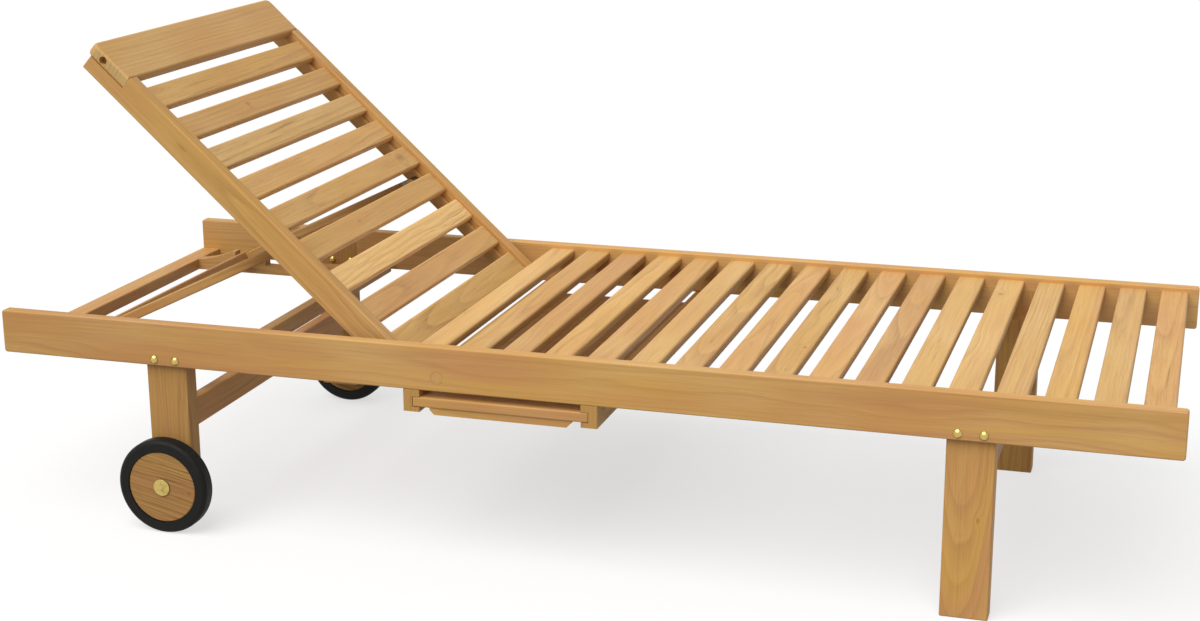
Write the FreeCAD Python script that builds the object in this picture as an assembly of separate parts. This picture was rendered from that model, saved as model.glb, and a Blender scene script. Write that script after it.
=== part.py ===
import FreeCAD, Part
import math
import os

# A slatted wooden sun lounger with a propped backrest, two wheels and a pull-out tray.
# X runs from the head end to the foot end, Y from the right side to the left side of a person
# lying on it, and Z up from the floor. Sizes are in millimetres.
Vector = FreeCAD.Vector

# Side rails
rail_length = 2000.0
frame_width = 756.0
rail_height = 76.0
rail_thickness = 22.0
rail_top = 373.0
rail_corner_round = 5.0
edge_round = 2.5

# Room between pieces
bolt_gap = 0.05
running_gap = 0.3
side_gap = 0.5
housing_gap = 0.1
flat_gap = 1.5

# Slats of the seat and the backrest
slat_width = 48.0
slat_thickness = 16.0
slat_round = 4.0
slat_end_gap = 0.5
seat_slat_pitch = 72.8
seat_slat_drop = 8.0
seat_foot_gap = 18.5
seat_hinge_gap = 62.0
seat_slat_housing = 8.0

# Legs and the pieces across them
leg_width = 76.0
leg_thickness = 34.0
leg_setback = 12.0
leg_tongue_height = 50.0
front_leg_from_foot = 277.0
rear_leg_from_head = 273.0
rear_leg_below_axle = 36.0
cross_thickness = 22.0
cross_height = 46.0
stretcher_height = 50.0
stretcher_drop = 74.0
stretcher_inset = 11.0
support_rail_from_head = 403.0
support_rail_height = 30.0
head_bar_width = 38.0
head_bar_height = 23.0
head_bar_drop = 59.0

# Leg bolts and the plugs in the side rails
leg_bolt_radius = 4.0
leg_bolt_head_radius = 7.0
leg_bolt_cap = 3.5
leg_bolt_spacing = 40.0
rear_bolt_shift = 4.0
leg_bolt_above_rail_bottom = 11.0
bolt_rim = 1.0
plug_radius = 11.0
plug_depth = 10.0
plug_from_hinge = 123.0
plug_above_rail_bottom = 23.5

# Wheels
tyre_radius = 84.5
tyre_width = 31.0
tyre_round = 8.0
disc_radius = 64.0
disc_thickness = 28.0
disc_round = 3.0
wheel_leg_gap = 6.0
axle_shift = -3.0
axle_radius = 5.0
axle_cap_radius = 15.0
axle_cap_rim = 2.0
axle_cap = 3.0
axle_collar_radius = 11.0
axle_nut_radius = 9.0
axle_nut_height = 5.0

# Tray under the seat
tray_from_head = 755.5
tray_width = 304.5
tray_depth = 700.0
tray_thickness = 17.0
runner_web = 15.0
runner_lip = 13.0
runner_top_lip = 12.0
runner_low_lip = 8.0
batten_inset = 17.0
batten_height = 12.0
batten_depth = 24.0
batten_chamfer = 8.0

# Backrest, measured along it from the hinge and square to it
backrest_angle = 42.5
hinge_from_head = 692.0
back_side_gap = 28.0
back_rail_thickness = 26.0
back_rail_depth = 47.0
back_rail_drop = 3.0
back_rail_tail = 46.0
hinge_below_rail_top = 32.0
back_length = 710.0
back_rail_short = 10.0
board_width = 86.5
board_thickness = 22.0
board_round = 5.0
board_corner_round = 13.0
board_slat_gap = 21.0
back_slat_pitch = 73.6
back_slat_drop = 6.0
back_slat_tail_gap = 4.0
back_ledger_thickness = 12.0
hinge_bolt_radius = 4.0
hinge_bolt_depth = 14.0
hinge_head_radius = 8.0
hinge_head_cap = 2.5
pocket_radius = 7.0
pocket_depth = 14.0
pocket_from_end = 32.0
screw_radius = 2.2
screw_head_radius = 4.2
screw_length = 25.0

# Prop and its racks
prop_from_hinge = 243.0
prop_length = 391.0
pivot_bolt_depth = 26.0
arm_depth = 17.0
arm_thickness = 20.0
crossbar_width = 30.0
crossbar_rise = 3.5
rack_from_rail = 70.0
rack_thickness = 22.0
rack_drop = 39.0
rack_web = 17.5
rack_tail_height = 26.0
notch_count = 2
notch_depth = 24.5
notch_pitch = 67.0
notch_floor = 34.0
notch_sag = 3.0
notch_wall_gap = 4.0
tooth_land = 8.0

# Places that follow from these sizes
head_end = -rail_length / 2
foot_end = rail_length / 2
rail_outer = frame_width / 2
rail_inner = rail_outer - rail_thickness
rail_bottom = rail_top - rail_height
seat_slat_bottom = rail_top - seat_slat_drop - slat_thickness
leg_outer = rail_outer - leg_setback
leg_inner = leg_outer - leg_thickness
leg_top = rail_bottom + leg_tongue_height

hinge_x = head_end + hinge_from_head
hinge_z = rail_top - back_rail_drop - hinge_below_rail_top
back_outer = rail_inner - back_side_gap
back_inner = back_outer - back_rail_thickness
back_ledger_inner = back_inner - back_ledger_thickness
back_underside = hinge_below_rail_top - back_rail_depth
back_slat_bottom = hinge_below_rail_top - back_slat_drop - slat_thickness
board_bottom = hinge_below_rail_top - board_thickness
board_low_end = back_length - board_width

rack_outer = rail_inner - rack_from_rail
rack_inner = rack_outer - rack_thickness
arm_outer = rack_inner - side_gap
arm_inner = arm_outer - arm_thickness
crossbar_top = arm_depth / 2 + crossbar_rise
crossbar_end = prop_length + crossbar_width
prop_below = min(back_slat_bottom, board_bottom) - flat_gap - crossbar_top

flat_underside = hinge_z + min(back_underside, prop_below - arm_depth / 2)
support_top = flat_underside - flat_gap
head_bar_top = rail_top - head_bar_drop
rack_start = head_end + head_bar_width
rack_end = head_end + support_rail_from_head
rack_top = rail_top - rack_drop
rack_floor = rack_top - notch_depth
rack_bottom = rack_floor - rack_web

tilt = math.radians(backrest_angle)
pivot_x = hinge_x - prop_from_hinge * math.cos(tilt) + prop_below * math.sin(tilt)
pivot_z = hinge_z + prop_from_hinge * math.sin(tilt) + prop_below * math.cos(tilt)
crossbar_reach = math.hypot(crossbar_end, arm_depth / 2)
prop_angle = math.asin((pivot_z - rack_floor) / crossbar_reach) - math.atan2(arm_depth / 2, crossbar_end)
crossbar_head = pivot_x - crossbar_end * math.cos(prop_angle) - crossbar_top * math.sin(prop_angle)

front_leg_x = foot_end - front_leg_from_foot - leg_width / 2
rear_leg_x = head_end + rear_leg_from_head + leg_width / 2
axle_x = rear_leg_x + axle_shift
tray_start = head_end + tray_from_head + runner_web + side_gap
runner_height = runner_top_lip + tray_thickness + 2 * side_gap + runner_low_lip
tray_top = rail_bottom - runner_top_lip - side_gap


def box(x0, x1, y0, y1, z0, z1):
    return Part.makeBox(x1 - x0, y1 - y0, z1 - z0, Vector(x0, y0, z0))


def plank(x0, x1, y0, y1, z0, z1, rounding=edge_round):
    solid = box(x0, x1, y0, y1, z0, z1)
    return solid.makeFillet(rounding, solid.Edges)


def runs_along(edge, axis):
    step = edge.Vertexes[-1].Point - edge.Vertexes[0].Point
    return step.Length > 0 and abs(abs(step.normalize().dot(axis)) - 1) < 1e-6


def cornered_plank(solid, axis, corner, rounding, wanted=lambda edge: True):
    # A plank with its corners along one axis rounded large and all other edges eased.
    ends = [edge for edge in solid.Edges if runs_along(edge, axis) and wanted(edge)]
    solid = solid.makeFillet(corner, ends)
    rest = [edge for edge in solid.Edges if not runs_along(edge, axis)]
    return solid.makeFillet(rounding, rest)


def rod(radius, x, z, y0, y1):
    return Part.makeCylinder(radius, y1 - y0, Vector(x, y0, z), Vector(0, 1, 0))


def prism(points, y0, y1):
    # A straight-sided outline in X and Z, drawn out along Y.
    wire = Part.makePolygon([Vector(x, y0, z) for x, z in points + points[:1]])
    return Part.Face(wire).extrude(Vector(0, y1 - y0, 0))


def dome(radius, height, base, side):
    # The arc of a domed end from its crown to its rim, on the given side of the base.
    sphere = (radius ** 2 + height ** 2) / (2 * height)
    half = math.asin(radius / sphere) / 2
    middle = height - sphere + sphere * math.cos(half)
    crown = Vector(0, base + side * height, 0)
    shoulder = Vector(sphere * math.sin(half), base + side * middle, 0)
    return Part.Arc(crown, shoulder, Vector(radius, base, 0)).toShape()


def turned(steps, x, y, z, head_cap, tail_cap=0.0):
    # A turned bolt along Y from its head at y: steps are pairs of radius and length.
    points = []
    reach = 0.0
    for radius, length in steps:
        points += [Vector(radius, reach, 0), Vector(radius, reach + length, 0)]
        reach += length
    edges = [dome(steps[0][0], head_cap, 0.0, -1)]
    edges += [Part.makeLine(a, b) for a, b in zip(points, points[1:]) if (b - a).Length > 1e-9]
    tail = Vector(0, reach + tail_cap, 0)
    if tail_cap > 0:
        edges.append(dome(steps[-1][0], tail_cap, reach, 1))
    else:
        edges.append(Part.makeLine(points[-1], tail))
    edges.append(Part.makeLine(tail, Vector(0, -head_cap, 0)))
    wire = Part.Wire(Part.__sortEdges__(edges))
    solid = Part.Face(wire).revolve(Vector(0, 0, 0), Vector(0, 1, 0), 360)
    solid.translate(Vector(x, y, z))
    return solid


def mirrored(solid):
    return solid.mirror(Vector(0, 0, 0), Vector(0, 1, 0))


def raised(solid):
    # From lying flat with the hinge at the origin to the backrest's place at rest.
    solid = solid.copy()
    solid.rotate(Vector(0, 0, 0), Vector(0, 1, 0), backrest_angle)
    solid.translate(Vector(hinge_x, 0, hinge_z))
    return solid


def swung(solid):
    # From lying flat with the pivot at the origin to the prop's place at rest.
    solid = solid.copy()
    solid.rotate(Vector(0, 0, 0), Vector(0, 1, 0), -math.degrees(prop_angle))
    solid.translate(Vector(pivot_x, 0, pivot_z))
    return solid


os.makedirs("parts", exist_ok=True)


def save(node, *solids):
    shape = solids[0] if len(solids) == 1 else Part.makeCompound(list(solids))
    shape.exportStep("parts/" + node + ".step")


def save_pair(node, right):
    save(node + "_right", right)
    save(node + "_left", mirrored(right))


# The right side rail is bored for the leg bolts, the hinge bolt and the plug. Its inner face has a
# housing for the tongue of each leg and for the end of each seat slat, counted from the foot end.
leg_bolt_z = rail_bottom + leg_bolt_above_rail_bottom
leg_bolt_places = [
    middle + side * leg_bolt_spacing / 2
    for middle in (rear_leg_x + rear_bolt_shift, front_leg_x)
    for side in (-1, 1)
]
leg_bolt_holes = Part.makeCompound([
    rod(leg_bolt_radius + bolt_gap, x, leg_bolt_z, -rail_outer, -rail_inner)
    for x in leg_bolt_places
])
plug_x = hinge_x + plug_from_hinge
plug_z = rail_bottom + plug_above_rail_bottom

seat_room = foot_end - seat_foot_gap - (hinge_x + seat_hinge_gap)
seat_slat_count = int((seat_room - slat_width) / seat_slat_pitch) + 1
seat_slat_ends = [foot_end - seat_foot_gap - index * seat_slat_pitch for index in range(seat_slat_count)]
slat_reach = rail_inner + seat_slat_housing
slat_housings = Part.makeCompound([
    plank(
        end - slat_width - housing_gap, end + housing_gap, -slat_reach, slat_reach,
        seat_slat_bottom - housing_gap, seat_slat_bottom + slat_thickness + housing_gap, slat_round)
    for end in seat_slat_ends
])
leg_housings = Part.makeCompound([
    box(
        x - leg_width / 2 - housing_gap, x + leg_width / 2 + housing_gap,
        -leg_outer - housing_gap, -rail_inner, rail_bottom, leg_top + housing_gap)
    for x in (rear_leg_x, front_leg_x)
])

side_rail = cornered_plank(
    box(head_end, foot_end, -rail_outer, -rail_inner, rail_bottom, rail_top),
    Vector(0, 1, 0), rail_corner_round, edge_round)
side_rail = side_rail.cut(leg_bolt_holes)
side_rail = side_rail.cut(rod(plug_radius + bolt_gap, plug_x, plug_z, -rail_outer, plug_depth - rail_outer))
side_rail = side_rail.cut(
    rod(hinge_bolt_radius + bolt_gap, hinge_x, hinge_z, -rail_inner - hinge_bolt_depth, -rail_inner))
save_pair("side_rail", side_rail.cut(leg_housings).cut(slat_housings))

plug = rod(plug_radius, plug_x, plug_z, -rail_outer, plug_depth - rail_outer)
save("rail_plugs", plug, mirrored(plug))

# Seat slats lie across the frame with both ends in the rails' housings.
for index, end in enumerate(seat_slat_ends):
    slat = plank(
        end - slat_width, end, slat_end_gap - slat_reach, slat_reach - slat_end_gap,
        seat_slat_bottom, seat_slat_bottom + slat_thickness, slat_round)
    save("seat_slat_%02d" % (index + 1), slat)


# Legs stand under the rails and are halved to a tongue that is bolted into the rail's inner face. The
# rear ones end short of the floor, behind the wheels.
def leg(middle, foot):
    whole = plank(middle - leg_width / 2, middle + leg_width / 2, -leg_outer, -leg_inner, foot, leg_top)
    waste = box(middle - leg_width / 2, middle + leg_width / 2, -rail_inner, -leg_inner, rail_bottom, leg_top)
    return whole.cut(waste).cut(leg_bolt_holes)


save_pair("front_leg", leg(front_leg_x, 0))
axle_hole = rod(axle_radius + bolt_gap, axle_x, tyre_radius, -leg_outer, -leg_inner)
save_pair("rear_leg", leg(rear_leg_x, tyre_radius - rear_leg_below_axle).cut(axle_hole))

leg_bolts = [
    turned(
        [(leg_bolt_head_radius, bolt_rim), (leg_bolt_radius, rail_thickness),
         (leg_bolt_head_radius, bolt_rim)],
        x, -rail_outer - bolt_rim, leg_bolt_z, leg_bolt_cap, leg_bolt_cap)
    for x in leg_bolt_places
]
save("leg_bolts", *leg_bolts, *[mirrored(bolt) for bolt in leg_bolts])

# Pieces across the frame, from the foot end to the head end.
front_leg_edge = front_leg_x + leg_width / 2
save("front_cross_rail", plank(
    front_leg_edge - cross_thickness, front_leg_edge, -leg_inner, leg_inner,
    rail_bottom - cross_height, rail_bottom))

support_start = head_end + support_rail_from_head
save("back_support_rail", plank(
    support_start, support_start + cross_thickness, -rail_inner, rail_inner,
    support_top - support_rail_height, support_top))

stretcher_edge = rear_leg_x + leg_width / 2 - stretcher_inset
stretcher_top = rail_bottom - stretcher_drop
save("rear_stretcher", plank(
    stretcher_edge - cross_thickness, stretcher_edge, -leg_inner, leg_inner,
    stretcher_top - stretcher_height, stretcher_top))

save("head_cross_bar", plank(
    head_end, rack_start, -rail_inner, rail_inner, head_bar_top - head_bar_height, head_bar_top))

# Toothed racks stand inside the rails, between the head bar and the support rail. A hollow ramp
# rises from the head bar to the first tooth. Each notch has an upright wall on its head side and a
# hollow ramp up to the next tooth; a plain tail runs on from the last one.
def hollow_cutter(wall, floor, ramp_start, ramp_end):
    middle = Vector((ramp_start + ramp_end) / 2, -rack_outer, (floor + rack_top) / 2 - notch_sag)
    above = rack_top + notch_depth
    corners = [(ramp_end, rack_top), (ramp_end, above), (wall, above), (wall, floor), (ramp_start, floor)]
    points = [Vector(x, -rack_outer, z) for x, z in corners]
    edges = [Part.makeLine(a, b) for a, b in zip(points, points[1:])]
    edges.append(Part.Arc(points[-1], middle, points[0]).toShape())
    return Part.Face(Part.Wire(edges)).extrude(Vector(0, rack_thickness, 0))


rest_wall = crossbar_head - notch_wall_gap
teeth_end = rest_wall + notch_count * notch_pitch
rack = box(rack_start, rack_end, -rack_outer, -rack_inner, rack_bottom, rack_top)
rack = rack.cut(box(
    teeth_end, rack_end, -rack_outer, -rack_inner, rack_bottom + rack_tail_height, rack_top))
rack = rack.cut(hollow_cutter(rack_start, head_bar_top, rack_start + tooth_land, rest_wall - tooth_land))
for index in range(notch_count):
    wall = rest_wall + index * notch_pitch
    rack = rack.cut(hollow_cutter(wall, rack_floor, wall + notch_floor, wall + notch_pitch - tooth_land))
save_pair("rack", rack)

# Tray: a wide board that slides out to the right in two channelled runners under the rails.
runner_reach = runner_web + runner_lip
lip_end = rail_bottom - runner_top_lip
groove_end = lip_end - tray_thickness - 2 * side_gap
runner_start = tray_start - side_gap - runner_web
runner_outline = [
    (runner_start, rail_bottom), (runner_start, rail_bottom - runner_height),
    (runner_start + runner_reach, rail_bottom - runner_height), (runner_start + runner_reach, groove_end),
    (runner_start + runner_web, groove_end), (runner_start + runner_web, lip_end),
    (runner_start + runner_reach, lip_end), (runner_start + runner_reach, rail_bottom)]
head_runner = prism(runner_outline, -rail_outer, rail_outer)
tray_middle = tray_start + tray_width / 2
save("tray_runners", head_runner, head_runner.mirror(Vector(tray_middle, 0, 0), Vector(1, 0, 0)))

tray_board = plank(
    tray_start, tray_start + tray_width, -rail_outer, tray_depth - rail_outer,
    tray_top - tray_thickness, tray_top)
save("tray_board", tray_board)

batten_start = runner_start + runner_reach + batten_inset
batten_end = 2 * tray_middle - batten_start
batten_top = tray_top - tray_thickness
batten = prism(
    [(batten_start, batten_top), (batten_start, batten_top - batten_height + batten_chamfer),
     (batten_start + batten_chamfer, batten_top - batten_height),
     (batten_end - batten_chamfer, batten_top - batten_height),
     (batten_end, batten_top - batten_height + batten_chamfer), (batten_end, batten_top)],
    edge_round - rail_outer, batten_depth - rail_outer)
save("tray_batten", batten)

# Wheels: a wooden disc with a rubber tyre, outside each rear leg on its own shouldered bolt.
wheel_inner = leg_outer + wheel_leg_gap
disc_inner = wheel_inner + (tyre_width - disc_thickness) / 2
disc = rod(disc_radius, axle_x, tyre_radius, -disc_inner - disc_thickness, -disc_inner)
disc = disc.makeFillet(disc_round, [edge for edge in disc.Edges if edge.Closed])
disc = disc.cut(rod(axle_radius + bolt_gap, axle_x, tyre_radius, -disc_inner - disc_thickness, -disc_inner))
save_pair("wheel_disc", disc)

tyre = rod(tyre_radius, axle_x, tyre_radius, -wheel_inner - tyre_width, -wheel_inner)
tyre = tyre.makeFillet(tyre_round, [edge for edge in tyre.Edges if edge.Closed])
tyre = tyre.cut(rod(disc_radius + bolt_gap, axle_x, tyre_radius, -wheel_inner - tyre_width, -wheel_inner))
save_pair("tyre", tyre)

disc_run = disc_thickness + 2 * running_gap
axle_collar = disc_inner - running_gap - leg_outer
axle_bolt = turned(
    [(axle_cap_radius, axle_cap_rim), (axle_radius, disc_run), (axle_collar_radius, axle_collar),
     (axle_radius, leg_thickness), (axle_nut_radius, axle_nut_height)],
    axle_x, -leg_outer - axle_collar - disc_run - axle_cap_rim, tyre_radius, axle_cap, axle_cap)
save("wheel_axle_bolts", axle_bolt, mirrored(axle_bolt))

# Backrest, made lying flat with the hinge at the origin and the head towards -X, then raised.
hinge_hole = rod(hinge_bolt_radius + bolt_gap, 0, 0, -back_outer, -back_ledger_inner)
pivot_hole = rod(
    hinge_bolt_radius + bolt_gap, -prop_from_hinge, prop_below,
    -back_ledger_inner - pivot_bolt_depth, -back_ledger_inner)
back_rail_end = back_length - back_rail_short
back_rail = plank(
    -back_rail_end, back_rail_tail, -back_outer, -back_inner, back_underside, hinge_below_rail_top)
back_rail = back_rail.cut(
    box(-back_rail_end, -board_low_end, -back_outer, -back_inner, board_bottom, hinge_below_rail_top))
back_rail = back_rail.cut(hinge_hole).cut(pivot_hole)
save_pair("backrest_rail", raised(back_rail))

first_slat_end = board_low_end - board_slat_gap
back_ledger = plank(
    -first_slat_end, back_rail_tail - back_slat_tail_gap, -back_inner, -back_ledger_inner,
    back_underside, back_slat_bottom)
back_ledger = raised(back_ledger.cut(hinge_hole).cut(pivot_hole))
save("backrest_ledgers", back_ledger, mirrored(back_ledger))

back_slat_room = first_slat_end + back_rail_tail - back_slat_tail_gap
back_slat_count = int((back_slat_room - slat_width) / back_slat_pitch) + 1
for index in range(back_slat_count):
    start = index * back_slat_pitch - first_slat_end
    slat = plank(
        start, start + slat_width, slat_end_gap - back_inner, back_inner - slat_end_gap,
        back_slat_bottom, back_slat_bottom + slat_thickness, slat_round)
    save("backrest_slat_%02d" % (index + 1), raised(slat))

# The wide board at the top lies in rebates in the rails. A screw sits in a pocket in each end.
pocket_x = pocket_from_end - back_length
pocket_z = (board_bottom + hinge_below_rail_top) / 2
pocket_end = pocket_depth - back_outer
board = cornered_plank(
    box(-back_length, -board_low_end, -back_outer, back_outer, board_bottom, hinge_below_rail_top),
    Vector(0, 0, 1), board_corner_round, board_round,
    lambda edge: edge.Vertexes[0].Point.x < -board_low_end - board_width / 2)
pocket = rod(pocket_radius, pocket_x, pocket_z, -back_outer, pocket_end)
screw_hole = rod(screw_radius + bolt_gap, pocket_x, pocket_z, pocket_end, pocket_end + screw_length)
for bore in (pocket, screw_hole):
    board = board.cut(bore).cut(mirrored(bore))
save("backrest_top_board", raised(board))

screw = turned(
    [(screw_head_radius, bolt_rim), (screw_radius, screw_length)],
    pocket_x, pocket_end - bolt_rim, pocket_z, bolt_rim)
save("top_board_screws", raised(screw), raised(mirrored(screw)))

# Hinge bolts are fixed in the side rails and carry the backrest between a head and a collar.
collar_length = back_side_gap - 2 * running_gap
hinge_run = back_rail_thickness + back_ledger_thickness + 2 * running_gap
hinge_bolt = turned(
    [(hinge_head_radius, bolt_rim), (hinge_bolt_radius, hinge_run), (hinge_head_radius, collar_length),
     (hinge_bolt_radius, running_gap + hinge_bolt_depth)],
    hinge_x, back_ledger_inner - running_gap - bolt_rim, hinge_z, hinge_head_cap)
save("hinge_bolts", hinge_bolt, mirrored(hinge_bolt))

# Prop: two arms on shouldered bolts under the backrest, joined by the crossbar that drops into the racks.
pivot_run = arm_thickness + 2 * running_gap
pivot_collar = back_ledger_inner - arm_outer - running_gap
pivot_bolt = turned(
    [(hinge_head_radius, bolt_rim), (hinge_bolt_radius, pivot_run), (hinge_head_radius, pivot_collar),
     (hinge_bolt_radius, pivot_bolt_depth)],
    -prop_from_hinge, arm_inner - running_gap - bolt_rim, prop_below, hinge_head_cap)
save("prop_pivot_bolts", raised(pivot_bolt), raised(mirrored(pivot_bolt)))

arm = cornered_plank(
    box(-prop_length, arm_depth / 2, -arm_outer, -arm_inner, -arm_depth / 2, arm_depth / 2),
    Vector(0, 1, 0), arm_depth / 2 - side_gap, edge_round,
    lambda edge: edge.Vertexes[0].Point.x > 0)
save_pair("prop_arm", swung(arm.cut(rod(hinge_bolt_radius + bolt_gap, 0, 0, -arm_outer, -arm_inner))))

save("prop_crossbar", swung(plank(
    -crossbar_end, -prop_length, -arm_outer, arm_outer, -arm_depth / 2, crossbar_top)))
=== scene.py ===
import math
import random
import bpy
from mathutils import Matrix, Vector


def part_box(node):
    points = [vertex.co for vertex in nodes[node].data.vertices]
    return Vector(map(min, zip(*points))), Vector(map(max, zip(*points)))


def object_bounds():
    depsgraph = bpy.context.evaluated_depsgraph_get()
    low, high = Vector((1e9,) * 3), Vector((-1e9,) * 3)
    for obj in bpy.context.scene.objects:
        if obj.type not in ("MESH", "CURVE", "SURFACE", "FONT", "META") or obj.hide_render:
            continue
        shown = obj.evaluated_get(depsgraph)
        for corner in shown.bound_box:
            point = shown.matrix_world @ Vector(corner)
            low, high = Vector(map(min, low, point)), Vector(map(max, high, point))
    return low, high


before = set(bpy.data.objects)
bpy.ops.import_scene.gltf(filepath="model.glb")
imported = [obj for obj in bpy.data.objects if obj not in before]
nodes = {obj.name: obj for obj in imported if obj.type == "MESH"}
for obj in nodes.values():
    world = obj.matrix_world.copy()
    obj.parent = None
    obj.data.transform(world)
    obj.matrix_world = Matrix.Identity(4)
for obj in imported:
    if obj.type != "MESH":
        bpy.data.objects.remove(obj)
cad_low, cad_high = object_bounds()


# Side rails
# Two planed teak boards on edge, rounded at the corners and oiled, and darker towards the head end.
# The legs and the seat are let into them and the pieces across are fixed between them.
class Wire:
    """One socket in a material, so that shader sums read like sums."""

    def __init__(self, tree, socket=None):
        self.tree = tree
        self.socket = socket

    def add(self, kind, settings, sockets, out=0):
        node = self.tree.nodes.new(kind)
        for name, value in settings.items():
            setattr(node, name, value)
        for name, value in sockets.items():
            if isinstance(value, Wire):
                self.tree.links.new(value.socket, node.inputs[name])
            else:
                node.inputs[name].default_value = value
        return Wire(self.tree, node.outputs[out] if node.outputs else None)

    def sum(self, operation, *values):
        return self.add("ShaderNodeMath", {"operation": operation}, dict(enumerate(values)))

    def __add__(self, other):
        return self.sum("ADD", self, other)

    def __sub__(self, other):
        return self.sum("SUBTRACT", self, other)

    def __rsub__(self, other):
        return self.sum("SUBTRACT", other, self)

    def __mul__(self, other):
        return self.sum("MULTIPLY", self, other)

    def __pow__(self, other):
        return self.sum("POWER", self, other)

    def __abs__(self):
        return self.sum("ABSOLUTE", self)

    __radd__ = __add__
    __rmul__ = __mul__

    def dot(self, direction):
        return self.add(
            "ShaderNodeVectorMath", {"operation": "DOT_PRODUCT"}, {0: self, 1: direction}, "Value")

    def spread(self, low, high, to_low=0.0, to_high=1.0):
        return self.add(
            "ShaderNodeMapRange", {"interpolation_type": "SMOOTHSTEP"},
            {"Value": self, "From Min": low, "From Max": high, "To Min": to_low, "To Max": to_high})

    def mix(self, first, second):
        return self.add("ShaderNodeMix", {"data_type": "RGBA"}, {"Factor": self, 6: first, 7: second}, 2)


def linear(red, green, blue, level=1.0):
    """A colour given as it shows on a screen, 0 to 255, as the light it reflects."""
    shown = [value / 255 for value in (red, green, blue)]
    light = [value / 12.92 if value < 0.04 else ((value + 0.055) / 1.055) ** 2.4 for value in shown]
    return (*[level * value for value in light], 1.0)


def material(name):
    made = bpy.data.materials.new(name)
    made.use_nodes = True
    made.node_tree.nodes.clear()
    return made, Wire(made.node_tree)


def surface(start, sockets):
    shader = start.add("ShaderNodeBsdfPrincipled", {}, sockets)
    start.add("ShaderNodeOutputMaterial", {}, {"Surface": shader})


def wear(piece, made):
    piece.data.materials.clear()
    piece.data.materials.append(made)


def distance(first, second):
    return (first * first + second * second) ** 0.5


def teak(node, grain, face, level=1.0, rosy=0.35, figure=1.0, bleach=0.0, heart=None, knots=(), stain_and_shade=None,
         end=(198, 152, 84)):
    """Oiled teak for one board: year rings about a heart of its own, cut by the board's faces.

    The grain runs along the board and the face is its wide side. Level is how light it is, and rosy,
    figure and bleach are how pink, how strongly marked and how faded. The heart is how far the log's
    middle lies aside and below, and how much it leans; a knot is its place along, across and its size.
    """
    chance = random.Random(node)
    made, start = material("teak_" + node)
    grain = Vector(grain).normalized()
    face = Vector(face).normalized()
    width = face.cross(grain)
    low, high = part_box(node)
    middle = (low + high) / 2
    half_length = sum(abs(run) * size for run, size in zip(grain, high - low)) / 2
    seed = chance.uniform(-50, 50)
    place = start.add("ShaderNodeTexCoord", {}, {}, "Object")
    facing = start.add("ShaderNodeTexCoord", {}, {}, "Normal")
    along = place.dot(grain) - middle.dot(grain)
    across = place.dot(width) - middle.dot(width)
    depth = place.dot(face) - middle.dot(face)

    def streaks(length, thickness, detail, rough=0.5, over=across, through=depth):
        stretched = start.add("ShaderNodeCombineXYZ", {}, {
            "X": along * (1 / length) + seed, "Y": over * (1 / thickness), "Z": through * (1 / thickness)})
        return start.add("ShaderNodeTexNoise", {}, {
            "Vector": stretched, "Scale": 1.0, "Detail": detail, "Roughness": rough})

    quarter_sawn = 0.3
    run_out = chance.uniform(0.003, 0.012)
    lean = chance.choice((-1, 1)) * run_out / half_length
    below = chance.uniform(0.010, 0.030) + run_out
    aside = chance.uniform(-0.02, 0.02)
    if chance.random() < quarter_sawn:
        aside = chance.choice((-1, 1)) * chance.uniform(0.05, 0.09)
    if heart:
        aside, below, lean = heart
    sway = streaks(0.30, 0.06, 1.5) - 0.5
    wander, swell = 0.03, 0.016
    radius = distance(across + aside + sway * wander, depth + below + along * lean) + sway * swell
    knot_heart = 0.0
    knot_stretch = 0.6
    for knot_along, knot_across, size in knots:
        reach = distance((along - knot_along) * knot_stretch, across - knot_across)
        swirl = reach * reach * (-1 / size ** 2)
        radius = radius + swirl.sum("EXPONENT", swirl) * size
        knot_heart = reach.spread(0.1 * size, 0.6 * size, 1.0, 0.0) + knot_heart

    year_width = chance.uniform(0.0060, 0.0090)
    year = radius * (1 / year_width)
    grown = year.sum("FRACT", year)
    vigour = start.add(
        "ShaderNodeTexWhiteNoise", {"noise_dimensions": "1D"}, {"W": year.sum("FLOOR", year)})
    ring = (1 - grown) ** 1.6 * grown.spread(0.0, 0.15) * vigour.spread(0.0, 1.0, 0.25, 1.1)
    band = streaks(0.60, 0.016, 2.0, 0.5, radius, 0.0)
    streak = streaks(0.25, 0.0030, 2.0, 0.5, radius, across * 0.2).spread(0.64, 0.82)
    fibre = streaks(0.14, 0.0026, 3.0, 0.6)
    pore = streaks(0.030, 0.0009, 1.0).spread(0.60, 0.72)
    cloud = streaks(0.30, 0.10, 2.0)
    cut_end = abs(facing.dot(grain)).spread(0.75, 0.95)

    gold = linear(213, 164, 86, level)
    rose = linear(203, 147, 91, level)
    dark = linear(142, 94, 44, level)
    pale = linear(226, 186, 122, level)
    shade = (band.spread(0.30, 0.70) * 0.9 + rosy - 0.4).mix(gold, rose)
    shade = (cloud.spread(0.40, 0.75) * 0.45 + bleach).mix(shade, pale)
    lines = ring * 0.30 + fibre.spread(0.40, 0.75) * 0.20 + pore * 0.16 + streak * 0.40
    lines = lines * figure * cloud.spread(0.25, 0.75, 0.7, 1.2) + knot_heart * 0.4
    # Extra darkening by place, given per board: glue lines, painted shade, and the rails' darker head end.
    if stain_and_shade:
        lines = lines + stain_and_shade(place)
    shade = lines.mix(shade, dark)
    end_shade = (ring * 0.5 + pore * 0.3).mix(linear(*end, level), linear(150, 106, 54, level))
    shade = cut_end.mix(shade, end_shade)
    relief = start.add("ShaderNodeBump", {}, {
        "Strength": 0.10, "Distance": 0.0006, "Height": 1 - fibre * 0.6 - pore * 0.5 - ring * 0.3})
    surface(start, {
        "Base Color": shade, "Roughness": fibre.spread(0.2, 0.8, 0.50, 0.64), "Normal": relief,
        "Specular IOR Level": 0.35})
    return made


lengthwise = (1, 0, 0)
crosswise = (0, 1, 0)
upright = (0, 0, 1)


# The rails are darkened towards the head end.
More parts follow.
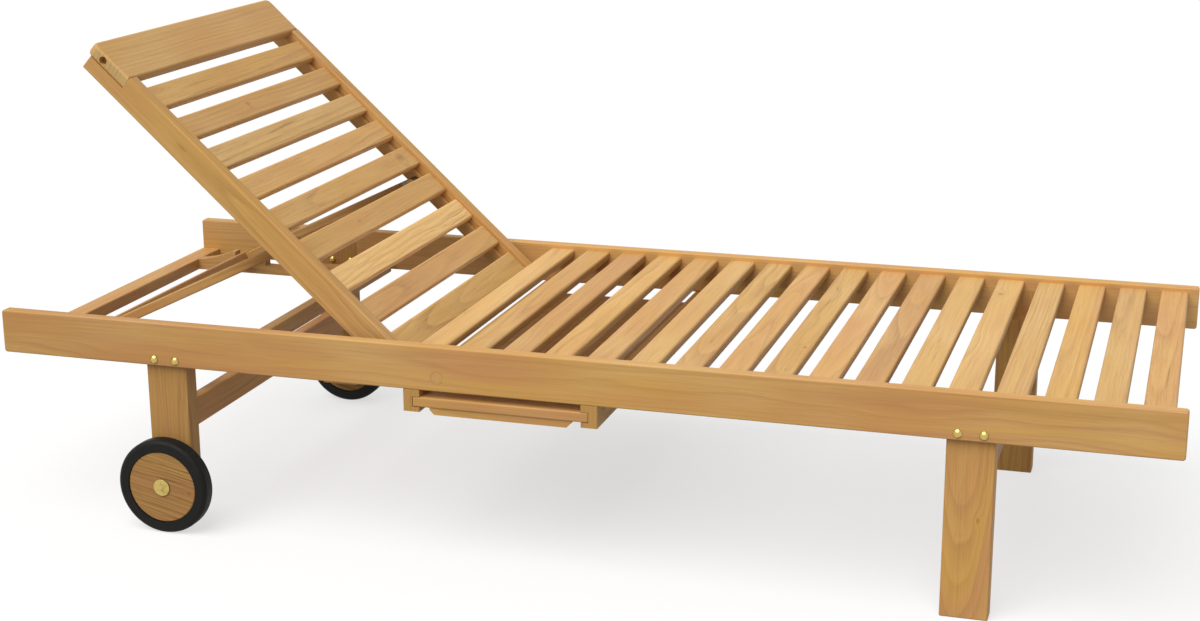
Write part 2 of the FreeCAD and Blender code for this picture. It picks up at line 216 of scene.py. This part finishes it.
def head_end_darkening(place):
    head_end, reach = cad_low.x, 0.9
    return place.dot(lengthwise).spread(head_end, head_end + reach, 0.20, 0.0)


wear(nodes["side_rail_right"], teak(
    "side_rail_right", lengthwise, crosswise, level=0.99, rosy=0.50, figure=0.7, stain_and_shade=head_end_darkening))
wear(nodes["side_rail_left"], teak(
    "side_rail_left", lengthwise, crosswise, rosy=0.55, figure=0.7, bleach=0.1, stain_and_shade=head_end_darkening))

# Rail plugs
# Short turned teak dowels glued over a fixing in each rail and sanded flush, with a thin line of
# dark glue round the rim.
plug_low, plug_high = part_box("rail_plugs")
plug_middle = (plug_low + plug_high) / 2
plug_radius = (plug_high.x - plug_low.x) / 2


def glue_line(place):
    from_middle = distance(place.dot(lengthwise) - plug_middle.x, place.dot(upright) - plug_middle.z)
    return from_middle.spread(plug_radius - 0.0018, plug_radius - 0.0008, 0.0, 0.3)


wear(nodes["rail_plugs"], teak(
    "rail_plugs", lengthwise, crosswise, level=0.98, rosy=0.45, figure=0.6, bleach=0.1, stain_and_shade=glue_line))

# Seat
# Seventeen rounded teak slats with their ends let into the rails, cut from different boards, so their
# colour and figure change from one to the next. Their sides below the rounded top are painted darker, a
# painted shade for the shade between the slats.
seat_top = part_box("seat_slat_01")[1].z


# Painted shade: the slats darken below their rounded top, standing in for the shade between them.
def painted_side_shade(place):
    return place.dot(upright).spread(seat_top - 0.009, seat_top - 0.003, 0.32, 0.0)


rosy_slats = (1, 7, 8, 10, 13, 15)
pale_slats = (2, 4, 5, 6, 12, 17)
knotty_slats = {5: (0.25, 0.008, 0.013), 9: (-0.18, -0.012, 0.008)}
seat_slat_count = 17
for number in range(1, seat_slat_count + 1):
    node = "seat_slat_%02d" % number
    choice = random.Random(node)
    rosy = choice.uniform(0.5, 0.75) if number in rosy_slats else choice.uniform(0.05, 0.35)
    bleach = choice.uniform(0.35, 0.5) if number in pale_slats else choice.uniform(0.1, 0.25)
    knots = [knotty_slats[number]] if number in knotty_slats else []
    level = choice.uniform(0.95, 1.05)
    figure = choice.uniform(0.75, 1.25)
    wear(nodes[node], teak(
        node, crosswise, upright, level, rosy, figure, bleach, knots=knots, stain_and_shade=painted_side_shade))

# Legs
# Upright teak boards halved to a tongue that sits in the rail's inner face; the rear pair stops
# short of the floor.
wear(nodes["front_leg_right"], teak(
    "front_leg_right", upright, crosswise, rosy=0.45, figure=1.1, heart=(0.014, 0.055, -0.11),
    knots=[(-0.008, 0.016, 0.007)]))
for node, level in (("front_leg_left", 0.92), ("rear_leg_right", 0.79), ("rear_leg_left", 0.79)):
    wear(nodes[node], teak(node, upright, crosswise, level, rosy=0.45, figure=1.1, bleach=-0.35))

# Leg bolts
# Domed brass bolts with domed nuts, two to a leg, through the rail and the leg's tongue. They are
# polished on the crown, and round the rim they are painted darker, a painted shade for the dark reflections
# there.
def metal(name, colour, tarnish_and_rim_shade, smooth, rough):
    """Metal that lies along the lounger's width, with a haze of tarnish, and painted darker where it turns
    away from its crown as a painted shade for dark reflections.
    """
    made, start = material(name)
    place = start.add("ShaderNodeTexCoord", {}, {}, "Object")
    facing = start.add("ShaderNodeTexCoord", {}, {}, "Normal")
    scuff = start.add("ShaderNodeTexNoise", {}, {"Vector": place, "Scale": 900.0, "Detail": 3.0})
    haze = start.add("ShaderNodeTexNoise", {}, {"Vector": place, "Scale": 110.0, "Detail": 2.0})
    # Painted shade: faces turned away from the crown are mixed towards the darker colour, standing in for
    # dark reflections round the rim.
    rim = abs(facing.dot(crosswise)).spread(0.30, 0.85, 0.9, 0.0)
    shade = (haze.spread(0.45, 0.80) * 0.5 + rim).mix(colour, tarnish_and_rim_shade)
    dents = start.add("ShaderNodeBump", {}, {
        "Strength": 0.25, "Distance": 0.0004, "Height": scuff * 0.5 + haze})
    surface(start, {
        "Base Color": shade, "Metallic": 1.0, "Roughness": scuff.spread(0.3, 0.7, smooth, rough),
        "Normal": dents})
    return made


brass = metal("polished_brass", linear(200, 177, 105), linear(112, 84, 38), smooth=0.16, rough=0.32)
wear(nodes["leg_bolts"], brass)

# Pieces across the frame
# Teak bars between the legs and the rails: a front rail, a rear stretcher, a rail that the
# backrest lies on when flat, and a bar that closes the head end.
wear(nodes["front_cross_rail"], teak("front_cross_rail", crosswise, lengthwise, level=0.86, rosy=0.5))
wear(nodes["rear_stretcher"], teak(
    "rear_stretcher", crosswise, lengthwise, level=1.02, rosy=0.70, bleach=-0.35))
wear(nodes["back_support_rail"], teak("back_support_rail", crosswise, lengthwise, level=0.92, rosy=0.45))
wear(nodes["head_cross_bar"], teak("head_cross_bar", crosswise, upright, level=0.95, rosy=0.45))

# Racks
# Two teak boards on edge, sawn into hooked teeth that the prop drops into. They are butted between
# the head bar and the support rail.
for node in ("rack_right", "rack_left"):
    wear(nodes[node], teak(node, lengthwise, crosswise, level=0.90, rosy=0.5))

# Tray
# A wide teak board that slides out sideways in two channelled runners, with a batten to pull on. The
# part that stays under the seat is painted darker, a painted shade for the seat's shade over it.
tray_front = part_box("tray_board")[0].y


# Painted shade: the tray board darkens from its front edge inwards, standing in for the seat's shade over
# it.
def painted_under_seat_shade(place):
    return place.dot(crosswise).spread(tray_front + 0.01, tray_front + 0.08, 0.0, 0.6)


wear(nodes["tray_runners"], teak("tray_runners", crosswise, lengthwise, level=0.92))
wear(nodes["tray_board"], teak(
    "tray_board", lengthwise, upright, level=0.95, rosy=0.45, stain_and_shade=painted_under_seat_shade))
wear(nodes["tray_batten"], teak("tray_batten", lengthwise, upright, level=0.95))

# Wheels
# Turned teak discs, cut with the grain a little off level, each with a black rubber tyre pressed on and
# running on a shouldered brass bolt in the rear leg.
disc_grain = (0.97, 0, -0.24)
for node in ("wheel_disc_right", "wheel_disc_left"):
    wear(nodes[node], teak(
        node, disc_grain, crosswise, level=0.71, rosy=0.5, figure=2.2, bleach=-0.35,
        heart=(0.07, 0.02, 0.06), knots=[(0.052, -0.006, 0.007)], end=(205, 160, 90)))
rubber, start = material("tyre_rubber")
tyre_low, tyre_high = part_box("tyre_left")
tyre_middle = (tyre_low + tyre_high) / 2
tyre_radius = (tyre_high.z - tyre_low.z) / 2
place = start.add("ShaderNodeTexCoord", {}, {}, "Object")
grit = start.add("ShaderNodeTexNoise", {}, {"Vector": place, "Scale": 1400.0, "Detail": 2.0})
dust = start.add("ShaderNodeTexNoise", {}, {"Vector": place, "Scale": 45.0, "Detail": 4.0})
from_axle = distance(place.dot(lengthwise) - tyre_middle.x, place.dot(upright) - tyre_middle.z)
from_middle = abs(abs(place.dot(crosswise)) - tyre_middle.y)
tread_groove = 0.0045
side_groove = tyre_radius - 0.013
# Painted shade: the tread and sidewall grooves are coloured darker than the dusty rubber round them.
groove = abs(from_middle - tread_groove).spread(0.0009, 0.0018, 1.0, 0.0)
groove = groove * from_axle.spread(tyre_radius - 0.003, tyre_radius - 0.0015)
groove = groove.sum("MAXIMUM", groove, abs(from_axle - side_groove).spread(0.0003, 0.0008, 1.0, 0.0))
black = linear(16, 16, 14)
dusty = linear(34, 32, 27)
painted_groove_shade = linear(14, 14, 13)
surface(start, {
    "Base Color": (groove * 0.7).mix((dust.spread(0.4, 0.8) * 0.8).mix(black, dusty), painted_groove_shade),
    "Roughness": dust.spread(0.3, 0.7, 0.50, 0.68), "Specular IOR Level": 0.18,
    "Normal": start.add("ShaderNodeBump", {}, {
        "Strength": 0.35, "Distance": 0.0012, "Height": grit * 0.15 - groove})})
wear(nodes["tyre_right"], rubber)
wear(nodes["tyre_left"], rubber)
wear(nodes["wheel_axle_bolts"], brass)

# Backrest
# Two teak rails with a ledger inside each, nine slats on the ledgers and a wide board let into the
# rails' ends. A zinc-plated screw sits in a pocket in each end of the board.
back_lean = math.radians(42.5)
up_the_back = (-math.cos(back_lean), 0, math.sin(back_lean))
out_of_the_back = (math.sin(back_lean), 0, math.cos(back_lean))
for node, level in (("backrest_rail_right", 0.97), ("backrest_rail_left", 0.99), ("backrest_ledgers", 0.86)):
    wear(nodes[node], teak(node, up_the_back, crosswise, level, rosy=0.45, figure=1.2))
pale_back_slats = {3: (0.65, 1.0), 4: (0.35, 1.10), 7: (0.90, 1.26)}
knotty_back_slats = {2: (-0.06, 0.004, 0.010), 5: (0.25, 0.004, 0.020)}
back_slat_count = 9
for number in range(1, back_slat_count + 1):
    node = "backrest_slat_%02d" % number
    choice = random.Random(node)
    usual = (choice.uniform(0.15, 0.35), choice.uniform(0.96, 1.06))
    bleach, level = pale_back_slats.get(number, usual)
    knots = [knotty_back_slats[number]] if number in knotty_back_slats else []
    rosy = choice.uniform(0.1, 0.6)
    figure = choice.uniform(1.0, 1.6)
    wear(nodes[node], teak(node, crosswise, out_of_the_back, level, rosy, figure, bleach, knots=knots))
wear(nodes["backrest_top_board"], teak(
    "backrest_top_board", crosswise, out_of_the_back, level=0.98, rosy=0.45, figure=0.8, bleach=0.25,
    end=(206, 170, 110)))
zinc = metal("zinc_plated_steel", linear(188, 188, 184), linear(140, 140, 136), smooth=0.28, rough=0.45)
wear(nodes["top_board_screws"], zinc)

# Hinge bolts
# Shouldered steel bolts driven into the side rails; the backrest turns on them. They have gone
# dull outdoors.
dull_steel = metal("dulled_steel", linear(122, 110, 94), linear(84, 74, 60), smooth=0.42, rough=0.60)
wear(nodes["hinge_bolts"], dull_steel)

# Prop
# Two teak arms on shouldered steel bolts under the backrest, joined by the crossbar that drops into
# the racks. Their upper ends are painted darker, a painted shadow of the backrest over them.
wear(nodes["prop_pivot_bolts"], dull_steel)
slope = math.radians(25.68)
down_the_prop = (-math.cos(slope), 0, -math.sin(slope))
arm_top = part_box("prop_arm_left")[1].z


# Painted shadow: the arms darken towards their upper ends, standing in for the backrest's shadow.
def painted_backrest_shadow(place):
    return place.dot(upright).spread(arm_top - 0.09, arm_top - 0.03, 0.0, 0.6)


for node in ("prop_arm_right", "prop_arm_left"):
    wear(nodes[node], teak(node, down_the_prop, crosswise, level=0.9, rosy=0.45, stain_and_shade=painted_backrest_shadow))
wear(nodes["prop_crossbar"], teak("prop_crossbar", crosswise, upright, level=0.85, rosy=0.45))

# Floor and background
# A plain white studio floor that keeps the lounger's soft shadow, in a white room. Both show white
# to the eye and in polished metal, and throw back less light than that.
far = 30
floor_mesh = bpy.data.meshes.new("floor")
floor_mesh.from_pydata([(-far, -far, 0), (far, -far, 0), (far, far, 0), (-far, far, 0)], [], [(0, 1, 2, 3)])
floor = bpy.data.objects.new("floor", floor_mesh)
bpy.context.scene.collection.objects.link(floor)


def looked_at(start):
    straight, mirrored, through = [
        start.add("ShaderNodeLightPath", {}, {}, "Is %s Ray" % ray)
        for ray in ("Camera", "Glossy", "Transmission")]
    return straight.sum("MAXIMUM", straight.sum("MAXIMUM", straight, mirrored), through)


paint, start = material("floor_paint")
matt = {"Roughness": 1.0, "Specular IOR Level": 0.0}
dim = start.add("ShaderNodeBsdfPrincipled", {}, {"Base Color": (0.30, 0.30, 0.30, 1), **matt})
bright = start.add("ShaderNodeBsdfPrincipled", {}, {"Base Color": (0.97, 0.97, 0.97, 1), **matt})
glow = start.add("ShaderNodeEmission", {}, {"Color": (1, 1, 1, 1), "Strength": 1.0})
shown = start.add("ShaderNodeMixShader", {}, {0: 0.62, 1: bright, 2: glow})
start.add("ShaderNodeOutputMaterial", {}, {
    "Surface": start.add("ShaderNodeMixShader", {}, {0: looked_at(start), 1: dim, 2: shown})})
wear(floor, paint)

room = bpy.data.worlds.new("room")
room.use_nodes = True
room.node_tree.nodes.clear()
bpy.context.scene.world = room
start = Wire(room.node_tree)
lit = start.add("ShaderNodeBackground", {}, {"Color": (1, 1, 1, 1), "Strength": 0.39})
white = start.add("ShaderNodeBackground", {}, {"Color": (1, 1, 1, 1), "Strength": 1.0})
start.add("ShaderNodeOutputWorld", {}, {
    "Surface": start.add("ShaderNodeMixShader", {}, {0: looked_at(start), 1: lit, 2: white})})

# Lamps
# One wide soft lamp like a studio's ceiling light, high over the near side and a little towards the
# head end.
sky = bpy.data.lights.new("sky_lamp", "SUN")
sky.energy = 2.67
sky.angle = math.radians(60)
sky_lamp = bpy.data.objects.new("sky_lamp", sky)
sky_lamp.rotation_euler = Vector((0.17, 0.55, -0.82)).to_track_quat("-Z", "Y").to_euler()
bpy.context.scene.collection.objects.link(sky_lamp)

# Camera
# It stands off the near side towards the foot end, at about a standing person's chest height, and
# looks down a little along the lounger.
eye = bpy.data.cameras.new("camera")
eye.lens = 60.125
eye.sensor_width = 36.0
eye.sensor_fit = "HORIZONTAL"
camera = bpy.data.objects.new("camera", eye)
bpy.context.scene.collection.objects.link(camera)
camera.matrix_world = Matrix((
    (0.955372, -0.075336, 0.285637, 1.002011),
    (0.295377, 0.256936, -0.920183, -3.294473),
    (-0.004067, 0.963488, 0.267722, 1.306303),
    (0, 0, 0, 1)))
bpy.context.scene.camera = camera
bpy.context.scene.view_settings.view_transform = "Standard"
